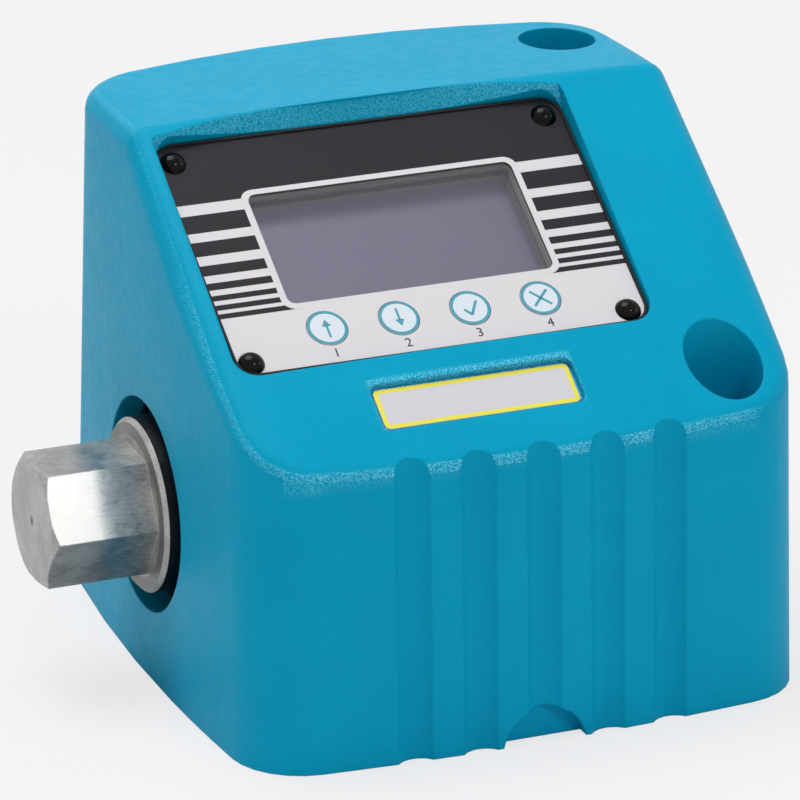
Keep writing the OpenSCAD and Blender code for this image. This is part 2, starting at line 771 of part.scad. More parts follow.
// Rubber mat with a raised pad under each key
mat_t = 0.8;
pad_z = -panel_t - 0.1 - key_collar - key_travel - 0.1;
mat_h = 8.4;
module keypad_mat() {
    color("#2e2f33") on_panel() translate([0, -key_down_by, 0]) {
        translate([0, 0, pad_z - 0.6 - mat_t]) slab(key_pitch * key_count, mat_h, mat_t, 1);
        for (x = key_x) translate([x, 0, pad_z - 0.6 - skin]) cylinder(d = key_d * 0.6, h = 0.6 + skin);
    }
}

module keypad_board() {
    board_z = pad_z - 0.6 - mat_t - board_t;
    color("#1f6b45") on_panel() translate([0, -key_down_by, board_z]) {
        slab(keypad_w, mat_h, board_t, 1);
        for (s = [-1, 1]) translate([s * key_pitch * 2.1, 0, board_t - skin])
            cylinder(d = 3.2, h = -panel_t - board_z - board_t + skin);
    }
}

header_w = 40;
header_t = 6;
module main_board() {
    color("#1f6b45") difference() {
        union() {
            translate([main_x, main_y, main_z]) rotate([-90, 0, 0]) slab(main_w, main_h, board_t, 2);
            for (i = [-1:1]) translate([main_x + i * chip_pitch - chip_w / 2, main_y + board_t - skin, main_z - chip_w])
                cube([chip_w, chip_t, chip_w]);
            translate([main_x - header_w / 2, main_y + board_t - skin, main_z + header_t])
                cube([header_w, header_t, header_t]);
        }
        translate([0, main_y - 1, 0]) main_places() cylinder(d = board_screw_d + 0.2, h = board_t + 2);
    }
}

module board_spacers() {
    color("#c9b26a") translate([0, hollow_y0, 0]) main_places()
        ring(spacer_d, board_screw_d + 0.2, spacer_len);
}

// Pan-head screws of the main board
module board_screws() {
    color("#9a9da1") translate([0, main_y + board_t, 0]) main_places() {
        cylinder(d = board_screw_d * 1.9, h = board_screw_d * 0.7);
        translate([0, 0, -board_t - spacer_len - board_grip])
            cylinder(d = board_screw_d, h = board_t + spacer_len + board_grip + skin);
    }
}

module label_plate() {
    color("#e6e4e6") on_slope(-label_left, label_up) translate([0, 0, -label_sink - label_t])
        slab(label_w, label_h, label_t, label_r);
}

// Nine-way data socket
data_flange_w = 30.8;
data_flange_h = 12.5;
data_flange_t = 1;
data_body_t = 9;
data_shell_w = 15.6;
data_shell_h = 7.9;
data_shell_t = 5.2;
data_body_w = 19.2;
data_body_h = 10.6;
data_post_d = 3.1;
data_post_pitch = 25;
module data_post_places() {
    for (s = [-1, 1]) translate([s * data_post_pitch / 2, 0, 0]) children();
}

module d_shape(w, h, t) {
    lean = tan(10) * h / 2;
    linear_extrude(t) polygon([
        [-w / 2 - lean, h / 2],
        [-w / 2 + lean, -h / 2],
        [w / 2 - lean, -h / 2],
        [w / 2 + lean, h / 2]
    ]);
}

module data_socket() {
    rows = [5, 4];
    color("#a7aaae") on_rear(-data_x) difference() {
        union() {
            slab(data_flange_w, data_flange_h, data_flange_t, 1.5);
            translate([0, 0, -data_body_t]) slab(data_body_w, data_body_h, data_body_t + skin, 0.8);
            translate([0, 0, data_flange_t - skin]) d_shape(data_shell_w, data_shell_h, data_shell_t);
        }
        data_post_places() translate([0, 0, -1]) cylinder(d = data_post_d + 0.2, h = 3);
        for (r = [0, 1], i = [0:rows[r] - 1])
            translate([(i - (rows[r] - 1) / 2) * 2.77, 1.42 - 2.84 * r, 2.2]) cylinder(d = 1.1, h = 5, $fn = 16);
    }
}

// Threaded posts that lock a plug to the data socket
lock_d = 5.4;
lock_h = 4.6;
lock_bore_d = 2.4;
module socket_posts() {
    color("#c3c6ca") on_rear(-data_x) data_post_places() difference() {
        union() {
            translate([0, 0, data_flange_t]) cylinder(d = lock_d, h = lock_h, $fn = 6);
            translate([0, 0, -rear_wall - 2]) cylinder(d = data_post_d, h = rear_wall + 3 + skin);
        }
        translate([0, 0, data_flange_t + 0.6]) cylinder(d = lock_bore_d, h = lock_h);
    }
}

inlet_flange_t = 2;
inlet_len = 10;
inlet_pin_d = 2.1;
module power_inlet() {
    color("#232427") on_rear(inlet_x) {
        difference() {
            union() {
                cylinder(d = inlet_d + 3, h = inlet_flange_t);
                translate([0, 0, -inlet_len]) cylinder(d = inlet_d, h = inlet_len + skin);
            }
            translate([0, 0, -inlet_len + 2]) cylinder(d = inlet_bore_d, h = inlet_len + inlet_flange_t);
        }
        translate([0, 0, -inlet_len + 1.5]) cylinder(d = inlet_pin_d, h = inlet_len - 0.5);
    }
}

nut_t = 2.5;
nut_w = inlet_d + 5;
module inlet_nut() {
    color("#c3c6ca") on_rear(inlet_x, -rear_wall - nut_t) difference() {
        cylinder(d = nut_w, h = nut_t, $fn = 6);
        translate([0, 0, -1]) cylinder(d = inlet_d + 0.1, h = nut_t + 2);
    }
}

switch_body_w = rocker_w + 4;
switch_body_h = rocker_h + 2.6;
switch_depth = 14;
switch_flange_t = 1.6;
pocket_depth = 6;
module switch_frame() {
    color("#1a1b1d") on_rear(switch_x) difference() {
        union() {
            slab(switch_body_w + 3, switch_body_h + 3, switch_flange_t, 1.5);
            translate([0, 0, -switch_depth]) slab(switch_body_w, switch_body_h, switch_depth + skin, 0.8);
        }
        translate([-rocker_w / 2 - 0.4, -rocker_h / 2 - 0.5, -pocket_depth])
            cube([rocker_w + 0.8, rocker_h + 1, pocket_depth + 4]);
        translate([-rocker_w / 2 - 1.1, 0, pivot_z]) rotate([0, 90, 0]) cylinder(d = pivot_d + 0.1, h = rocker_w + 2.2);
    }
}

// Two-way rocker with its pivot, tilted to its off side
pivot_z = -2.6;
rocker_wing = rocker_h / 2;
rocker_rise = 4.6;
rocker_heel = 1.9;
module power_rocker() {
    color("#26272a") on_rear(switch_x) translate([-rocker_w / 2, 0, pivot_z]) rotate([rocker_tilt, 0, 0]) {
        rotate([90, 0, 90]) linear_extrude(rocker_w) polygon([
            [-rocker_wing + 0.4, rocker_rise],
            [-rocker_wing, rocker_heel],
            [-rocker_heel, -rocker_heel],
            [rocker_heel, -rocker_heel],
            [rocker_wing, rocker_heel],
            [rocker_wing - 0.4, rocker_rise],
            [0, rocker_rise - 0.7]
        ]);
        translate([-0.9, 0, 0]) rotate([0, 90, 0]) cylinder(d = pivot_d, h = rocker_w + 1.8);
    }
}

housing();
cover_plate();
cover_screws();
drive_shaft();
shaft_bush();
bore_ring();
shaft_clip();
anchor_block();
anchor_screws();
strain_gauges();
panel_plate();
panel_rivets();
display_window();
display_bezel();
lcd_module();
display_board();
key_up();
key_down();
key_tick();
key_cross();
keypad_mat();
keypad_board();
main_board();
board_spacers();
board_screws();
label_plate();
data_socket();
socket_posts();
power_inlet();
inlet_nut();
switch_frame();
power_rocker();
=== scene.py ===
# Bench torque tester: printed panel, finishes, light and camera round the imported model.
import math

import bmesh
import bpy
from mathutils import Matrix, Vector


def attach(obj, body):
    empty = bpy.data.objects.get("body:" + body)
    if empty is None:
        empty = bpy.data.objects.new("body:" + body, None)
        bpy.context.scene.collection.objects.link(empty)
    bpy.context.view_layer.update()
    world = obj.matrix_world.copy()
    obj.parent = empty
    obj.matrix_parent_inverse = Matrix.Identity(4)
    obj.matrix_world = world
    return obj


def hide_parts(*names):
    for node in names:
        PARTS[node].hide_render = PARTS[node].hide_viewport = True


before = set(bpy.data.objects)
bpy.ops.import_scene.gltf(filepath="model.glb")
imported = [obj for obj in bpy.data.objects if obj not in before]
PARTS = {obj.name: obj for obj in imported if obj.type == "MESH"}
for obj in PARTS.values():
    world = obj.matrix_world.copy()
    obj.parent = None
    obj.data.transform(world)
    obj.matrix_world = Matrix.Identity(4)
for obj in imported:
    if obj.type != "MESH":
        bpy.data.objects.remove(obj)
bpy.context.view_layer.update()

MM = 0.001

# The object's own sizes in millimetres and degrees, which follow the part's source
SLOPE_ANGLE, PANEL_TILT = 34.75, 1.25
PANEL_CENTRE = (-11.3, -12.509, 102.078)
PANEL_W, PANEL_H, PANEL_R = 96.6, 63.9, 4.5
WINDOW_W, WINDOW_H, WINDOW_R, WINDOW_UP = 63.2, 30.8, 2.0, 0.7
KEY_PITCH, KEY_DROP, KEY_D, KEY_PROUD = 16.9, 22.4, 9.2, 0.15
LABEL_CENTRE = (-9.5, -50.788, 76.771)
LABEL_W, LABEL_H, LABEL_R = 46.1, 10.4, 1.3
SHAFT_Y, SHAFT_Z, SHAFT_R, FLANGE_CHAMFER, FLANGE_SIDE = 4.2, 40.4, 19.9, 1.0, 18.0
HEX_FOOT, HEX_R = -69.5, 15.6
REAR_Y, REAR_Z, DATA_X, SWITCH_X = 63.1, 34.0, -24.0, 24.0
# The data socket's insert: half its width and height, and how far it reaches out of the rear wall
INSERT_HALF_W, INSERT_HALF_H, INSERT_FROM, INSERT_TO = 7.4, 3.6, 1.5, 6.0
# The rocker's pivot lies inside the rear wall, and its face dips in the middle
ROCKER_PIVOT, ROCKER_TILT, ROCKER_TOP, ROCKER_DIP, ROCKER_HALF = -2.6, 8, 4.6, 0.7, 4.9

# The printed films' sizes in millimetres, with heights measured from the panel's centre
FILM = 0.02
CORNER_STEPS = 6
BAND_LOW = 15.56
BAR_ROWS = [(7.6, 12.5), (1.2, 5.1), (-4.2, -1.4), (-8.2, -6.3), (-11.2, -9.75), (-13.8, -12.4), (-16.15, -14.8)]
# The bars run in under the window's border, and the lowest pair further, under its rounded corners
BAR_UNDER, LAST_BAR_UNDER = 0.5, 2.4
BORDER_L, BORDER_R, BORDER_H, BORDER_CORNER, BORDER_END, BORDER_GAP = -33.15, 33.05, 33.7, 3.0, 29.0, 0.05
LABEL_INSET, LABEL_EDGE = 0.1, 0.95
KEY_RING_INSET, KEY_RING_W, ARROW_W, MARK_W = 0.03, 0.68, 0.55, 0.62
NUMBER_SIZE, NUMBER_DROP = 3.3, 29.3
# The black strip of painted shade in the gap round the panel plate: its reach past the plate, corner radius, width,
# thickness and sink
SHADE_STRIP_OUT, SHADE_STRIP_R, SHADE_STRIP_W, SHADE_STRIP_T, SHADE_STRIP_SUNK = 0.55, 5.0, 0.5, 0.75, 0.3
ROCKER_MARK_OUT, LINE_HALF, LINE_W, RING_R, RING_W = 2.6, 0.9, 0.5, 1.15, 0.45

# Copies of CAD nodes: how near points are merged, and the angle past which an edge stays sharp
MERGE_WITHIN, SHARP_FROM = 0.002, 30

# Noise seldom leaves these values
NOISE_LOW, NOISE_HIGH = 0.3, 0.7

# One pale tone for the background and for the floor as the camera sees it
BACKDROP = "#f5f5f6"

# Where the photograph's perspective puts the camera, in metres and degrees, and its lens in millimetres
CAMERA_AT, CAMERA_TURN, CAMERA_DOWN, CAMERA_ROLL = (-0.5018, -1.1978, 0.5413), -22.46, 20.45, -0.10
CAMERA_LENS, CAMERA_SENSOR = 275.98, 36.0


# Colours and nodes

def linear(code):
    """sRGB hex colour as linear red, green, blue and alpha."""
    parts = [int(code[i:i + 2], 16) / 255 for i in (1, 3, 5)]
    return tuple(c / 12.92 if c <= 0.04045 else ((c + 0.055) / 1.055) ** 2.4 for c in parts) + (1.0,)


def fill(tree, node, values):
    """Sets or links a node's inputs, by name or in their order; a node given as a value stands for its result."""
    in_order = [socket for socket in node.inputs if socket.enabled]
    for key, value in (values.items() if isinstance(values, dict) else enumerate(values)):
        socket = node.inputs[key] if isinstance(key, str) else in_order[key]
        if isinstance(value, bpy.types.Node):
            value = next(result for result in value.outputs if result.enabled)
        if isinstance(value, bpy.types.NodeSocket):
            tree.links.new(value, socket)
        else:
            socket.default_value = value


def add(tree, kind, values=(), **settings):
    """Adds one shader node with its settings, values and links."""
    made = tree.nodes.new("ShaderNode" + kind)
    for key, value in settings.items():
        setattr(made, key, value)
    fill(tree, made, values)
    return made


def begin(name, colour, roughness, **sockets):
    """A new material with its base finish; returns it with its tree, shader and object coordinates."""
    finish = bpy.data.materials.new(name)
    finish.use_nodes = True
    tree = finish.node_tree
    shader = tree.nodes["Principled BSDF"]
    fill(tree, shader, {"Base Color": linear(colour), "Roughness": roughness})
    fill(tree, shader, {socket.replace("_", " "): value for socket, value in sockets.items()})
    return finish, tree, shader, add(tree, "TexCoord").outputs["Object"]


def grain(tree, place, size_mm, detail=2.0, stretch=(1, 1, 1), turn=(0, 0, 0)):
    """A pattern whose features are about size_mm across, drawn out by stretch."""
    scale = tuple(1 / (MM * size_mm * s) for s in stretch)
    spot = add(tree, "Mapping", {"Vector": place, "Scale": scale, "Rotation": turn})
    return add(tree, "TexNoise", {"Vector": spot, "Scale": 1.0, "Detail": detail})


def within(tree, *limits):
    """A mask of 1 where each value is past its limit's full end, falling to 0 at its other end."""
    mask = 1.0
    for value, none, full in limits:
        inside = add(tree, "MapRange", [value, full, none, 1.0, 0.0])
        mask = add(tree, "Math", [mask, inside], operation="MULTIPLY")
    return mask


def grained(name, colour, roughness, limits, size_mm, detail=2.0, stretch=(1, 1, 1), depth_mm=0.0, strength=0.4,
            **sockets):
    """A finish with one grain, which varies its roughness between two limits and lifts its surface by a depth."""
    finish, tree, shader, place = begin(name, colour, roughness, **sockets)
    skin = grain(tree, place, size_mm, detail, stretch)
    fill(tree, shader, {"Roughness": add(tree, "MapRange", [skin, NOISE_LOW, NOISE_HIGH, *limits])})
    if depth_mm:
        relief = add(tree, "Bump", {"Height": skin, "Distance": depth_mm * MM, "Strength": strength})
        fill(tree, shader, {"Normal": relief})
    return finish


# Finishes

def frosting(tree, place):
    """How far the enamel's coarse cast skin shows, and how strongly a painted highlight on its pebble tops shows."""
    normal = add(tree, "TexCoord").outputs["Normal"]
    facing = add(tree, "SeparateXYZ", [normal]).outputs
    height = add(tree, "SeparateXYZ", [place]).outputs["Z"]
    # 1 on the slope itself and less on its rounded edges, of which the sideways ones count as nearer to it
    slope = (0, -math.sin(math.radians(SLOPE_ANGLE)), math.cos(math.radians(SLOPE_ANGLE)))
    lean = add(tree, "VectorMath", [normal, slope], operation="DOT_PRODUCT")
    sideways = add(tree, "Math", [facing["X"]], operation="ABSOLUTE")
    edge = add(tree, "Math", [sideways, 0.25, lean], operation="MULTIPLY_ADD")
    edges = within(
        tree,
        (height, 63.5 * MM, 65.5 * MM),  # above the front wall
        (edge, 0.68, 0.755), (edge, 0.97, 0.92),  # on rounded edges alone
        (facing["X"], -0.9, -0.76), (facing["X"], 0.24, 0.06),  # neither on the left wall nor on the right edge
        (facing["Z"], 0.96, 0.9),  # nor on the top
    )
    # The same coarse skin, with its painted highlight, runs round the label's recess, widest along its upper edge
    on_slope = add(tree, "Mapping", {
        "Vector": place, "Location": tuple(c * MM for c in LABEL_CENTRE),
        "Rotation": (math.radians(SLOPE_ANGLE), 0, 0),
    }, vector_type="TEXTURE")
    from_label = add(tree, "VectorMath", [on_slope, (0, 0.9 * MM, 0)], operation="SUBTRACT")
    reach = add(tree, "SeparateXYZ", [add(tree, "VectorMath", [from_label], operation="ABSOLUTE")]).outputs
    sides = (("X", LABEL_W / 2 + 0.9), ("Y", LABEL_H / 2 + 1.4), ("Z", 5.0))
    soft = 0.4
    surround = within(tree, *((reach[axis], (far + soft) * MM, (far - soft) * MM) for axis, far in sides))
    # Along the left edge the painted highlight on the pebble tops is fainter, and it ends below the upper corner
    left_tops = add(tree, "MapRange", [height, 90 * MM, 106 * MM, 0.4, 0.0])
    tops = add(tree, "MapRange", [facing["X"], -0.75, -0.15, left_tops, 1.0])
    return add(tree, "Math", [edges, surround], operation="MAXIMUM"), tops


def textured_enamel():
    # Stove-baked wrinkle enamel on cast aluminium: an even saturated blue. The slope's rounded edges and the walls of
    # the upper recesses keep the coarse cast skin, and a painted highlight on its pebble tops there shows as a paler
    # frosting
    finish, tree, shader, place = begin("textured_blue_enamel", "#00a4ca", 0.34, IOR=1.5, Specular_IOR_Level=0.07)
    coarse, tops = frosting(tree, place)
    pebbles = grain(tree, place, 0.38)
    swell = grain(tree, place, 3.0, detail=1.0)
    shade = add(tree, "MapRange", [grain(tree, place, 22), NOISE_LOW, NOISE_HIGH, 0.0, 1.0])
    even = add(tree, "Mix", [shade, linear("#00a1c7"), linear("#00a6cc")], data_type="RGBA")
    # Painted highlight: the pebble tops of the coarse skin take a paler blue
    risen = add(tree, "MapRange", [pebbles, 0.45, 0.56, 0.0, 1.0])
    glint_on_tops = add(tree, "Math", [risen, tops], operation="MULTIPLY")
    painted_glint = add(tree, "Math", [glint_on_tops, coarse], operation="MULTIPLY")
    deeper = add(tree, "Math", [coarse, 1.4, 1.0], operation="MULTIPLY_ADD")
    skin = add(tree, "Math", [pebbles, deeper], operation="MULTIPLY")
    surface = add(tree, "Math", [swell, 0.5, skin], operation="MULTIPLY_ADD")
    worn = add(tree, "Bevel", {"Radius": 0.8 * MM}, samples=6)
    fill(tree, shader, {
        "Base Color": add(tree, "Mix", [painted_glint, even, linear("#62cfee")], data_type="RGBA"),
        "Roughness": add(tree, "MapRange", [swell, NOISE_LOW, NOISE_HIGH, 0.3, 0.42]),
        "Normal": add(tree, "Bump", {"Height": surface, "Distance": 0.17 * MM, "Strength": 0.8, "Normal": worn}),
    })
    return finish


def machined_steel():
    # Turned and milled tool steel: turning rings round the shaft's axis, flats brushed along and across their length
    # with a dull milled run-out towards the flange, a darker flange face, and a centre-punch mark in the end that is
    # coloured darker towards its middle. The rings and the brushed streaks are drawn coarser than real ones, so that
    # they show
    finish, tree, shader, place = begin("turned_and_milled_steel", "#abaaa8", 0.3, Metallic=1.0)
    off_axis = add(tree, "VectorMath", [place, (0, SHAFT_Y * MM, SHAFT_Z * MM)], operation="SUBTRACT")
    across = add(tree, "VectorMath", [off_axis, (0, 1, 1)], operation="MULTIPLY")
    radius = add(tree, "VectorMath", [across], operation="LENGTH")
    along = add(tree, "SeparateXYZ", [place]).outputs["X"]
    rings = add(tree, "TexNoise", {"W": radius, "Scale": 1 / (0.35 * MM), "Detail": 3.0}, noise_dimensions="1D")
    streaks = grain(tree, place, 0.35, detail=2.5, stretch=(5, 1, 1.4), turn=(0.3, 0.35, 0.1))
    brushed = add(tree, "Math", [grain(tree, place, 7.0, detail=3.0), streaks], operation="ADD")
    # The run-out fades away 13 mm from the flange, and the mark in the end is 2.6 mm across
    run_out = add(tree, "MapRange", [along, (HEX_FOOT - 13) * MM, (HEX_FOOT - 1) * MM, 1.0, 0.0],
                  interpolation_type="SMOOTHSTEP")
    punched = add(tree, "MapRange", [radius, 0.3 * MM, 1.3 * MM, 0.0, 1.0])
    # The flange's face, from the hexagon's corners to its bright rim chamfer
    rim = SHAFT_R - FLANGE_CHAMFER
    flange = within(tree, (radius, HEX_R * MM, (HEX_R + 0.8) * MM), (radius, (rim + 0.1) * MM, (rim - 0.1) * MM))
    shade = add(tree, "MapRange", [brushed, 0.82, 1.18, 0.0, 1.0])
    bare = add(tree, "Mix", [shade, linear("#999795"), linear("#b9b7b4")], data_type="RGBA")
    flange_darker = add(tree, "Mix", [flange, bare, linear("#858381")], data_type="RGBA")
    satin = add(tree, "MapRange", [brushed, 0.75, 1.25, 0.29, 0.4])
    rougher = add(tree, "Math", [run_out, -0.16, 0.16], operation="MULTIPLY_ADD")
    worn = add(tree, "Bevel", {"Radius": 0.4 * MM}, samples=6)
    pressed = add(tree, "Bump", {"Height": punched, "Distance": 0.9 * MM, "Strength": 1.0, "Normal": worn})
    sunk = add(tree, "Bump", {"Height": run_out, "Distance": 0.6 * MM, "Strength": 1.0, "Normal": pressed})
    marks = add(tree, "Math", [rings, streaks], operation="ADD")
    fill(tree, shader, {
        "Base Color": add(tree, "Mix", [punched, linear("#5c5b5a"), flange_darker], data_type="RGBA"),
        "Roughness": add(tree, "Math", [satin, rougher], operation="ADD"),
        "Normal": add(tree, "Bump", {"Height": marks, "Distance": 0.0045 * MM, "Strength": 0.5, "Normal": sunk}),
    })
    return finish


def moulded_plastic(name, colour, low, high, size_mm, depth_mm, gloss=0.5):
    # Injection-moulded plastic: a spark-eroded grain, drawn as coarse as it needs to show, breaks up the gloss
    return grained(name, colour, (low + high) / 2, (low, high), size_mm, depth_mm=depth_mm, IOR=1.49,
                   Specular_IOR_Level=gloss)


def printed_film(name, colour, roughness=0.34, gloss=0.35):
    # Screen-printed polyester film: flat ink under a fine satin texture, drawn as coarse as it needs to show
    return grained(name, colour, roughness, (roughness - 0.05, roughness + 0.07), 0.35, detail=1.0, depth_mm=0.0015,
                   IOR=1.5, Specular_IOR_Level=gloss)


def display_glass():
    # Unlit liquid-crystal glass over its polariser: grey with a violet cast, with painted light making it a little
    # lighter towards the left
    finish, tree, shader, place = begin("unlit_display", "#7a7788", 0.25, IOR=1.5)
    painted_light_fade = add(tree, "MapRange", [add(tree, "SeparateXYZ", [place]).outputs["X"], -45 * MM, 22 * MM, 0.0, 1.0])
    fill(tree, shader, {
        "Base Color": add(tree, "Mix", [painted_light_fade, linear("#8b859e"), linear("#7c7891")], data_type="RGBA"),
        "Roughness": add(tree, "MapRange", [grain(tree, place, 0.3), NOISE_LOW, NOISE_HIGH, 0.22, 0.3]),
    })
    return finish


def clear_sheet():
    # Clear acrylic sheet: lets light straight through and adds a thin polished reflection
    finish = bpy.data.materials.new("clear_acrylic")
    finish.use_nodes = True
    tree = finish.node_tree
    tree.nodes.remove(tree.nodes["Principled BSDF"])
    place = add(tree, "TexCoord").outputs["Object"]
    ripple = add(tree, "Bump", {"Height": grain(tree, place, 9.0), "Distance": 0.01 * MM, "Strength": 0.08})
    gloss = add(tree, "BsdfGlossy", {"Color": (1, 1, 1, 1), "Roughness": 0.04, "Normal": ripple})
    through = add(tree, "BsdfTransparent", {"Color": (0.95, 0.95, 0.96, 1)})
    pane = add(tree, "MixShader", [add(tree, "Fresnel", {"IOR": 1.3}), through, gloss])
    fill(tree, tree.nodes["Material Output"], {"Surface": pane})
    return finish


def circuit_board():
    # Green solder resist over glass cloth: the weave shows as a faint crossing pattern
    finish, tree, shader, place = begin("green_circuit_board", "#1d6b41", 0.35, IOR=1.5)
    threads = [grain(tree, place, 0.5, stretch=way) for way in ((12, 1, 1), (1, 12, 12))]
    weave = add(tree, "Math", threads, operation="MAXIMUM")
    shade = add(tree, "MapRange", [weave, NOISE_LOW, NOISE_HIGH, 0.0, 1.0])
    fill(tree, shader, {
        "Base Color": add(tree, "Mix", [shade, linear("#195f39"), linear("#227349")], data_type="RGBA"),
        "Normal": add(tree, "Bump", {"Height": weave, "Distance": 0.01 * MM, "Strength": 0.4}),
    })
    return finish


def gauge_foil():
    # Strain gauge film: amber polyimide with fine meandering foil
    finish, tree, shader, place = begin("amber_gauge_film", "#c98a38", 0.4, IOR=1.6)
    lines = add(tree, "TexWave", {"Vector": place, "Scale": 1 / (6 * MM)}, bands_direction="X").outputs["Fac"]
    amber = add(tree, "Mix", [lines, linear("#b97c2e"), linear("#d9a558")], data_type="RGBA")
    fill(tree, shader, {"Base Color": amber})
    return finish


def silicone_rubber():
    # Moulded silicone rubber: dark, matt and slightly dusty
    finish, tree, shader, place = begin("silicone_rubber", "#161618", 0.75, IOR=1.41)
    dust = add(tree, "Bump", {"Height": grain(tree, place, 0.4), "Distance": 0.02 * MM, "Strength": 0.4})
    fill(tree, shader, {"Normal": dust})
    return finish


ENAMEL = textured_enamel()
STEEL = machined_steel()
# Zinc or nickel plated steel: a bright even grey with faint cloudiness
PLATED = grained("plated_steel", "#b3b5b8", 0.28, (0.22, 0.38), 1.5, detail=3.0, depth_mm=0.01, Metallic=1.0)
# Heat-blackened steel: dark with a thin oily sheen. The shaft's flange side also takes it, as painted shade
BLACKENED_AND_PAINTED_SHADE = grained("blackened_steel", "#3a3b3e", 0.4, (0.32, 0.5), 1.2, detail=4.0, Metallic=1.0)
# Cold-rolled steel sheet: long faint rolling lines
ROLLED = grained("rolled_steel_sheet", "#8f9296", 0.38, (0.3, 0.48), 0.6, detail=4.0, stretch=(1, 40, 1),
                 depth_mm=0.008, strength=0.5, Metallic=1.0)
# Turned bearing bronze: warm metal with fine turning lines
BRONZE = grained("turned_bronze", "#b08a55", 0.33, (0.26, 0.42), 0.3, stretch=(1, 30, 30),
                 depth_mm=0.006, strength=0.5, Metallic=1.0)
# Drawn brass hexagon stock: yellow metal, lightly dulled
BRASS = grained("drawn_brass", "#c8a860", 0.3, (0.24, 0.4), 1.0, detail=3.0, Metallic=1.0)
BLACK_GLOSS = moulded_plastic("glossy_black_nylon", "#040405", 0.05, 0.1, 0.8, 0.003, gloss=0.14)
BLACK_RING = moulded_plastic("polished_black_ring", "#0d0d0f", 0.14, 0.26, 1.6, 0.008)
BLACK_FINE = moulded_plastic("fine_grained_black_plastic", "#17181a", 0.42, 0.58, 0.35, 0.02)
BEZEL_GREY = moulded_plastic("grey_bezel_plastic", "#9d9c9a", 0.5, 0.65, 0.4, 0.004)
PRINT_WHITE = printed_film("white_printed_film", "#e0dcdf")
PRINT_DARK = printed_film("charcoal_printed_ink", "#2d292e", roughness=0.3, gloss=0.15)
PRINT_TEAL = printed_film("teal_printed_ink", "#4c9fb3")
PRINT_YELLOW = printed_film("yellow_printed_border", "#f9ec48")
KEY_WHITE = printed_film("white_key_cap", "#e0e9f1", roughness=0.3)
LABEL_FACE = printed_film("silver_grey_label_face", "#d9d7dc", roughness=0.3)
CLEAR = clear_sheet()
BOARD = circuit_board()
# The keypad mat's rubber, which also colours the strip of painted shade round the panel plate
RUBBER_AND_PAINTED_SHADE = silicone_rubber()

FINISHES = {
    "housing": ENAMEL, "cover_plate": ROLLED, "cover_screws": BLACKENED_AND_PAINTED_SHADE, "drive_shaft": STEEL, "shaft_bush": BRONZE,
    "bore_ring": BLACK_RING, "shaft_clip": BLACKENED_AND_PAINTED_SHADE, "anchor_block": STEEL, "anchor_screws": BLACKENED_AND_PAINTED_SHADE,
    "strain_gauges": gauge_foil(), "panel_plate": PRINT_WHITE, "panel_rivets": BLACK_GLOSS, "display_window": CLEAR,
    "display_bezel": BEZEL_GREY, "lcd_module": display_glass(), "display_board": BOARD, "key_up": KEY_WHITE,
    "key_down": KEY_WHITE, "key_tick": KEY_WHITE, "key_cross": KEY_WHITE, "keypad_mat": RUBBER_AND_PAINTED_SHADE, "keypad_board": BOARD,
    "main_board": BOARD, "board_spacers": BRASS, "board_screws": PLATED, "label_plate": LABEL_FACE,
    "data_socket": PLATED, "socket_posts": PLATED, "power_inlet": BLACK_FINE, "inlet_nut": PLATED,
    "switch_frame": BLACK_FINE, "power_rocker": BLACK_FINE,
}


def dress(piece, finish):
    piece.data.materials.clear()
    piece.data.materials.append(finish)


def refinished(name, finishes, choose=lambda face: 0, angle=SHARP_FROM):
    """A merged copy of a CAD node that stands for it, with rounded faces smooth and a finish chosen face by face."""
    copy = bpy.data.objects.new(name + "_skin", PARTS[name].data.copy())
    bpy.context.scene.collection.objects.link(copy)
    copy.data.materials.clear()
    for finish in finishes:
        copy.data.materials.append(finish)
    shape = bmesh.new()
    shape.from_mesh(copy.data)
    bmesh.ops.remove_doubles(shape, verts=shape.verts, dist=MERGE_WITHIN * MM)
    shape.normal_update()
    for face in shape.faces:
        face.material_index = choose(face)
    shape.to_mesh(copy.data)
    shape.free()
    if copy.data.has_custom_normals:
        with bpy.context.temp_override(object=copy, active_object=copy, selected_objects=[copy]):
            bpy.ops.mesh.customdata_custom_splitnormals_clear()
    copy.data.shade_smooth()
    copy.data.set_sharp_from_angle(angle=math.radians(angle))
    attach(copy, "tester")
    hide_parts(name)


PANEL_UP = Matrix.Rotation(math.radians(SLOPE_ANGLE - PANEL_TILT), 3, "X") @ Vector((0, 0, 1))


def cut_edge(face):
    """1 for the cut edges of a sheet that lies along the panel."""
    return 0 if abs(face.normal.dot(PANEL_UP)) > 0.9 else 1


def socket_insert(face):
    """1 for the data socket's moulded insert: the flat end of its shell and the holes in it."""
    centre = face.calc_center_median() / MM
    inside = abs(centre.x - DATA_X) < INSERT_HALF_W and abs(centre.z - REAR_Z) < INSERT_HALF_H
    out = centre.y - REAR_Y
    return 1 if inside and out > INSERT_FROM and (abs(face.normal.y) > 0.5 or out < INSERT_TO) else 0


def shaded_flange_side(face):
    """1 for the shaft's flange side, which its machined front chamfer runs into; it is coloured black as painted shade.
    """
    centre = face.calc_center_median() / MM
    radius = math.hypot(centre.y - SHAFT_Y, centre.z - SHAFT_Z)
    return 1 if radius > FLANGE_SIDE and abs(face.normal.x) < 0.3 else 0


for part, finish in FINISHES.items():
    dress(PARTS[part], finish)
refinished("housing", [ENAMEL], angle=24)
# The panel plate's cut edges are coloured dark, like its dark print
refinished("panel_plate", [PRINT_WHITE, PRINT_DARK], cut_edge)
refinished("data_socket", [PLATED, BLACK_FINE], socket_insert)
# The flange side is coloured as blackened steel: painted shade in the gap by the bore ring
refinished("drive_shaft", [STEEL, BLACKENED_AND_PAINTED_SHADE], shaded_flange_side)
refinished("display_window", [CLEAR, BEZEL_GREY], cut_edge)


# Printed film, laid on the panel and the keys as thin sheets of ink

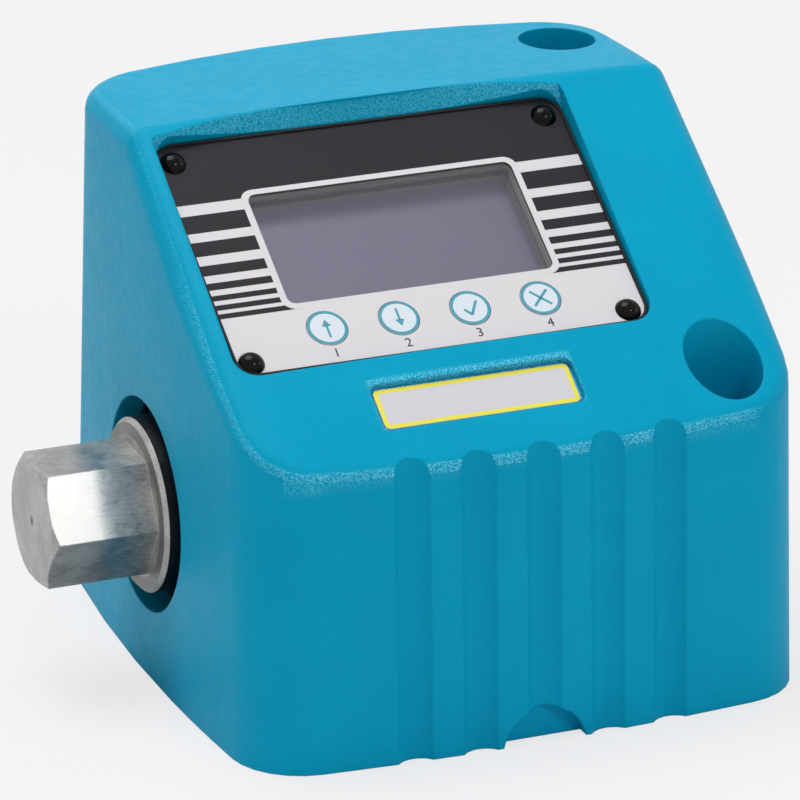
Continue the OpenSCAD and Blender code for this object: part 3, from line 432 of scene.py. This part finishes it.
ON_PANEL = Matrix.Translation(Vector(PANEL_CENTRE) * MM) @ Matrix.Rotation(
    math.radians(SLOPE_ANGLE - PANEL_TILT), 4, "X")
ON_LABEL = Matrix.Translation(Vector(LABEL_CENTRE) * MM) @ Matrix.Rotation(math.radians(SLOPE_ANGLE), 4, "X")


def sheet(shape, w, h, at=(0, 0), turn=0.0):
    """A flat rectangle round a point; returns its corners."""
    place = Matrix.Translation((at[0] * MM, at[1] * MM, 0)) @ Matrix.Rotation(turn, 4, "Z")
    return bmesh.ops.create_grid(shape, x_segments=1, y_segments=1, size=0.5 * MM,
                                 matrix=place @ Matrix.Diagonal((w, h, 1, 1)))["verts"]


def round_corners(shape, corners, r):
    bmesh.ops.bevel(shape, geom=corners, offset=r * MM, segments=CORNER_STEPS, profile=0.5,
                    affect="VERTICES", material=-1)


def framed(shape, width):
    """Leaves only a border of the given width along the outline of a shape's one face."""
    face = shape.faces[:][0]
    bmesh.ops.inset_region(shape, faces=[face], thickness=width * MM, use_even_offset=True, use_boundary=True)
    bmesh.ops.delete(shape, geom=[face], context="FACES")


def rounded_frame(w, h, r, width):
    """A border of the given width inside the outline of a rounded rectangle."""
    shape = bmesh.new()
    round_corners(shape, sheet(shape, w, h), r)
    framed(shape, width)
    return shape


def ring(r, width, steps):
    """A border of the given width inside a circle."""
    shape = bmesh.new()
    bmesh.ops.create_circle(shape, cap_ends=True, segments=steps, radius=r * MM)
    framed(shape, width)
    return shape


def stroke(shape, a, b, width):
    """A straight printed line from a to b, a little over its ends."""
    run = Vector(b) - Vector(a)
    middle = ((a[0] + b[0]) / 2, (a[1] + b[1]) / 2)
    sheet(shape, run.length + width * 0.2, width, middle, math.atan2(run.y, run.x))


def lay(name, shape, place, lift, finish, body, thickness=FILM):
    """Thickens a flat shape into a film and lays it at its place."""
    bmesh.ops.recalc_face_normals(shape, faces=shape.faces)
    for face in shape.faces:
        if face.normal.z < 0:
            face.normal_flip()
    top = bmesh.ops.extrude_face_region(shape, geom=shape.faces[:], use_keep_orig=True)
    raised = [v for v in top["geom"] if isinstance(v, bmesh.types.BMVert)]
    bmesh.ops.translate(shape, verts=raised, vec=(0, 0, thickness * MM))
    bmesh.ops.recalc_face_normals(shape, faces=shape.faces)
    shape.transform(place @ Matrix.Translation((0, 0, lift * MM)))
    mesh = bpy.data.meshes.new(name)
    shape.to_mesh(mesh)
    shape.free()
    piece = bpy.data.objects.new(name, mesh)
    bpy.context.scene.collection.objects.link(piece)
    dress(piece, finish)
    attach(piece, body)


def dark_print():
    """The dark band over the window, rounded with the panel's upper corners, and the bars on both sides."""
    shape = bmesh.new()
    top, half = PANEL_H / 2, PANEL_W / 2
    middle = (top + BAND_LOW) / 2
    corners = sheet(shape, 2 * half, top - BAND_LOW, (0, middle))
    round_corners(shape, [v for v in corners if v.co.y > middle * MM], PANEL_R)
    for low, high in BAR_ROWS:
        under = LAST_BAR_UNDER if (low, high) == BAR_ROWS[-1] else BAR_UNDER
        for outer, inner in ((-half, BORDER_L + under), (half, BORDER_R - under)):
            sheet(shape, abs(outer - inner), high - low, ((outer + inner) / 2, (low + high) / 2))
    lay("panel_dark_print", shape, ON_PANEL, 0.0, PRINT_DARK, "tester")


def window_border():
    """The white border round the window, left out where it would lie white on white below it."""
    shape = bmesh.new()
    hole = sheet(shape, WINDOW_W + 2 * BORDER_GAP, WINDOW_H + 2 * BORDER_GAP, (0, WINDOW_UP))
    round_corners(shape, hole, WINDOW_R)
    outline = sheet(shape, BORDER_R - BORDER_L, BORDER_H, ((BORDER_L + BORDER_R) / 2, WINDOW_UP))
    round_corners(shape, outline, BORDER_CORNER)
    bmesh.ops.delete(shape, geom=shape.faces[:], context="FACES_ONLY")
    bmesh.ops.bridge_loops(shape, edges=shape.edges[:])
    end = BORDER_END * MM
    for x in (-end, end):
        bmesh.ops.bisect_plane(shape, geom=shape.verts[:] + shape.edges[:] + shape.faces[:],
                               plane_co=(x, 0, 0), plane_no=(1, 0, 0))
    plain = [f for f in shape.faces if abs(f.calc_center_median().x) < end and f.calc_center_median().y < 0]
    bmesh.ops.delete(shape, geom=plain, context="FACES")
    lay("window_border_print", shape, ON_PANEL, FILM, PRINT_WHITE, "tester")


def label_border():
    """The coloured line along the label's edge."""
    shape = rounded_frame(LABEL_W - 2 * LABEL_INSET, LABEL_H - 2 * LABEL_INSET, LABEL_R - LABEL_INSET, LABEL_EDGE)
    lay("label_border_print", shape, ON_LABEL, 0.0, PRINT_YELLOW, "tester")


def arrow(shape, way):
    """An arrow that points up for 1 and down for -1."""
    stroke(shape, (0, -2.6 * way), (0, 0.6 * way), ARROW_W)
    tip = Matrix.Translation((0, 1.05 * way * MM, 0)) @ Matrix.Rotation(0 if way > 0 else math.pi, 4, "Z")
    bmesh.ops.create_circle(shape, cap_ends=True, segments=3, radius=1.25 * MM, matrix=tip)


def tick(shape):
    stroke(shape, (-1.5, -0.3), (-0.1, -1.9), MARK_W)
    stroke(shape, (-0.15, -1.9), (1.9, 1.7), MARK_W)


def cross(shape):
    stroke(shape, (-2.0, -2.0), (2.0, 2.0), MARK_W)
    stroke(shape, (-2.0, 2.0), (2.0, -2.0), MARK_W)


# Each key's node, its body and what draws its mark, from the left
KEYS = [("key_up", "up_key", lambda shape: arrow(shape, 1)), ("key_down", "down_key", lambda shape: arrow(shape, -1)),
        ("key_tick", "tick_key", tick), ("key_cross", "cross_key", cross)]


def by_key(index, drop, lift):
    """The place in line with a key, so far down the panel from its centre."""
    across = index - (len(KEYS) - 1) / 2
    return ON_PANEL @ Matrix.Translation((across * KEY_PITCH * MM, -drop * MM, lift * MM))


def key_print(index):
    """The ring and the mark on one key, which move with it."""
    node, body, draw = KEYS[index]
    place = by_key(index, KEY_DROP, KEY_PROUD)
    outline = ring(KEY_D / 2 - KEY_RING_INSET, KEY_RING_W, 48)
    lay(node + "_ring_print", outline, place, 0.0, PRINT_TEAL, body)
    mark = bmesh.new()
    draw(mark)
    lay(node + "_mark_print", mark, place, 0.0, PRINT_TEAL, body)


def key_number(index):
    """A plain printed number below each key."""
    name = "key_number_%d" % (index + 1)
    text = bpy.data.curves.new(name, "FONT")
    text.body = str(index + 1)
    text.size = NUMBER_SIZE * MM
    text.align_x = "CENTER"
    text.align_y = "CENTER"
    text.extrude = FILM / 2 * MM
    holder = bpy.data.objects.new("key_number_holder", text)
    bpy.context.scene.collection.objects.link(holder)
    bpy.context.view_layer.update()
    mesh = bpy.data.meshes.new_from_object(holder.evaluated_get(bpy.context.evaluated_depsgraph_get()))
    bpy.data.objects.remove(holder)
    mesh.transform(by_key(index, NUMBER_DROP, FILM / 2))
    piece = bpy.data.objects.new(name, mesh)
    bpy.context.scene.collection.objects.link(piece)
    dress(piece, PRINT_DARK)
    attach(piece, "tester")


def painted_shade_strip():
    """A black strip of painted shade in the gap round the panel plate."""
    shape = rounded_frame(PANEL_W + 2 * SHADE_STRIP_OUT, PANEL_H + 2 * SHADE_STRIP_OUT, SHADE_STRIP_R, SHADE_STRIP_W)
    lay("painted_shade_strip", shape, ON_PANEL, -SHADE_STRIP_SUNK, RUBBER_AND_PAINTED_SHADE, "tester", SHADE_STRIP_T)


def rocker_marks():
    """The line and the ring that show a switch's two sides."""
    on_rocker = (Matrix.Translation((SWITCH_X * MM, REAR_Y * MM, REAR_Z * MM)) @ Matrix.Rotation(math.pi, 4, "Y") @
                 Matrix.Rotation(-math.pi / 2, 4, "X") @ Matrix.Translation((0, 0, ROCKER_PIVOT * MM)) @
                 Matrix.Rotation(math.radians(ROCKER_TILT), 4, "X"))
    lean = math.atan2(ROCKER_DIP, ROCKER_HALF)
    up = ROCKER_TOP - ROCKER_DIP + ROCKER_MARK_OUT * math.tan(lean)
    line = bmesh.new()
    stroke(line, (0, -LINE_HALF), (0, LINE_HALF), LINE_W)
    for name, shape, side in (("rocker_line", line, 1), ("rocker_ring", ring(RING_R, RING_W, 32), -1)):
        place = on_rocker @ Matrix.Translation((0, side * ROCKER_MARK_OUT * MM, up * MM))
        place = place @ Matrix.Rotation(side * lean, 4, "X")
        lay(name, shape, place, 0.0, PRINT_WHITE, "rocker")


painted_shade_strip()
rocker_marks()
dark_print()
window_border()
label_border()
for i in range(len(KEYS)):
    key_print(i)
    key_number(i)


# Floor, light and camera

def pale_floor():
    """A plain floor just below the object; its glow keeps it near the background's tone, with the shadow on it."""
    half_side, drop, glowing = 4.0, 0.1 * MM, 0.8
    shape = bmesh.new()
    bmesh.ops.create_grid(shape, x_segments=1, y_segments=1, size=half_side)
    mesh = bpy.data.meshes.new("floor")
    shape.to_mesh(mesh)
    shape.free()
    floor = bpy.data.objects.new("floor", mesh)
    floor.location.z = -drop
    bpy.context.scene.collection.objects.link(floor)
    finish, tree, shader, _ = begin("pale_floor", "#f2f2f3", 0.8)
    path = add(tree, "LightPath").outputs
    seen = add(tree, "Math", [path["Is Camera Ray"], glowing], operation="MULTIPLY")
    glow = add(tree, "Emission", {"Color": linear(BACKDROP), "Strength": 1.0})
    fill(tree, tree.nodes["Material Output"], {"Surface": add(tree, "MixShader", [seen, shader, glow])})
    dress(floor, finish)


def pale_world():
    """The background as camera, glossy and clear rays see it, and a softer air that lights everything."""
    world = bpy.data.worlds.new("studio")
    bpy.context.scene.world = world
    world.use_nodes = True
    tree = world.node_tree
    path = add(tree, "LightPath").outputs
    sharp = add(tree, "Math", [path["Is Glossy Ray"], path["Is Transmission Ray"]], operation="MAXIMUM")
    seen = add(tree, "Math", [path["Is Camera Ray"], sharp], operation="MAXIMUM")
    air = add(tree, "Background", {"Color": linear("#e6e8ea"), "Strength": 0.43})
    back = add(tree, "Background", {"Color": linear(BACKDROP), "Strength": 1.0})
    fill(tree, tree.nodes["World Output"], {"Surface": add(tree, "MixShader", [seen, air, back])})


def softbox(name, at, aim, w, h, power):
    """A rectangular lamp that faces its aim, in metres and watts."""
    lamp = bpy.data.lights.new(name, "AREA")
    lamp.shape = "RECTANGLE"
    lamp.size, lamp.size_y = w, h
    lamp.energy = power
    holder = bpy.data.objects.new(name, lamp)
    holder.location = at
    holder.rotation_euler = (Vector(aim) - Vector(at)).to_track_quat("-Z", "Y").to_euler()
    bpy.context.scene.collection.objects.link(holder)


pale_floor()
pale_world()
softbox("front_softbox", (0.26, -1.04, 0.84), (0, 0, 0.06), 0.24, 0.16, 2.4)
softbox("top_softbox", (-0.2, 0.22, 1.25), (0, 0, 0.05), 0.8, 0.8, 10.4)
softbox("right_softbox", (1.1, -0.45, 0.5), (0, 0, 0.06), 0.16, 0.24, 0.8)

camera = bpy.data.cameras.new("camera")
camera.sensor_width = CAMERA_SENSOR
camera.lens = CAMERA_LENS
camera.clip_start, camera.clip_end = 0.1, 20.0
stand = bpy.data.objects.new("camera", camera)
bpy.context.scene.collection.objects.link(stand)
stand.rotation_euler = (Matrix.Rotation(math.radians(CAMERA_TURN), 3, "Z") @
                        Matrix.Rotation(math.radians(90 - CAMERA_DOWN), 3, "X") @
                        Matrix.Rotation(math.radians(CAMERA_ROLL), 3, "Z")).to_euler()
stand.location = CAMERA_AT
bpy.context.scene.camera = stand
bpy.context.scene.view_settings.view_transform = "Standard"
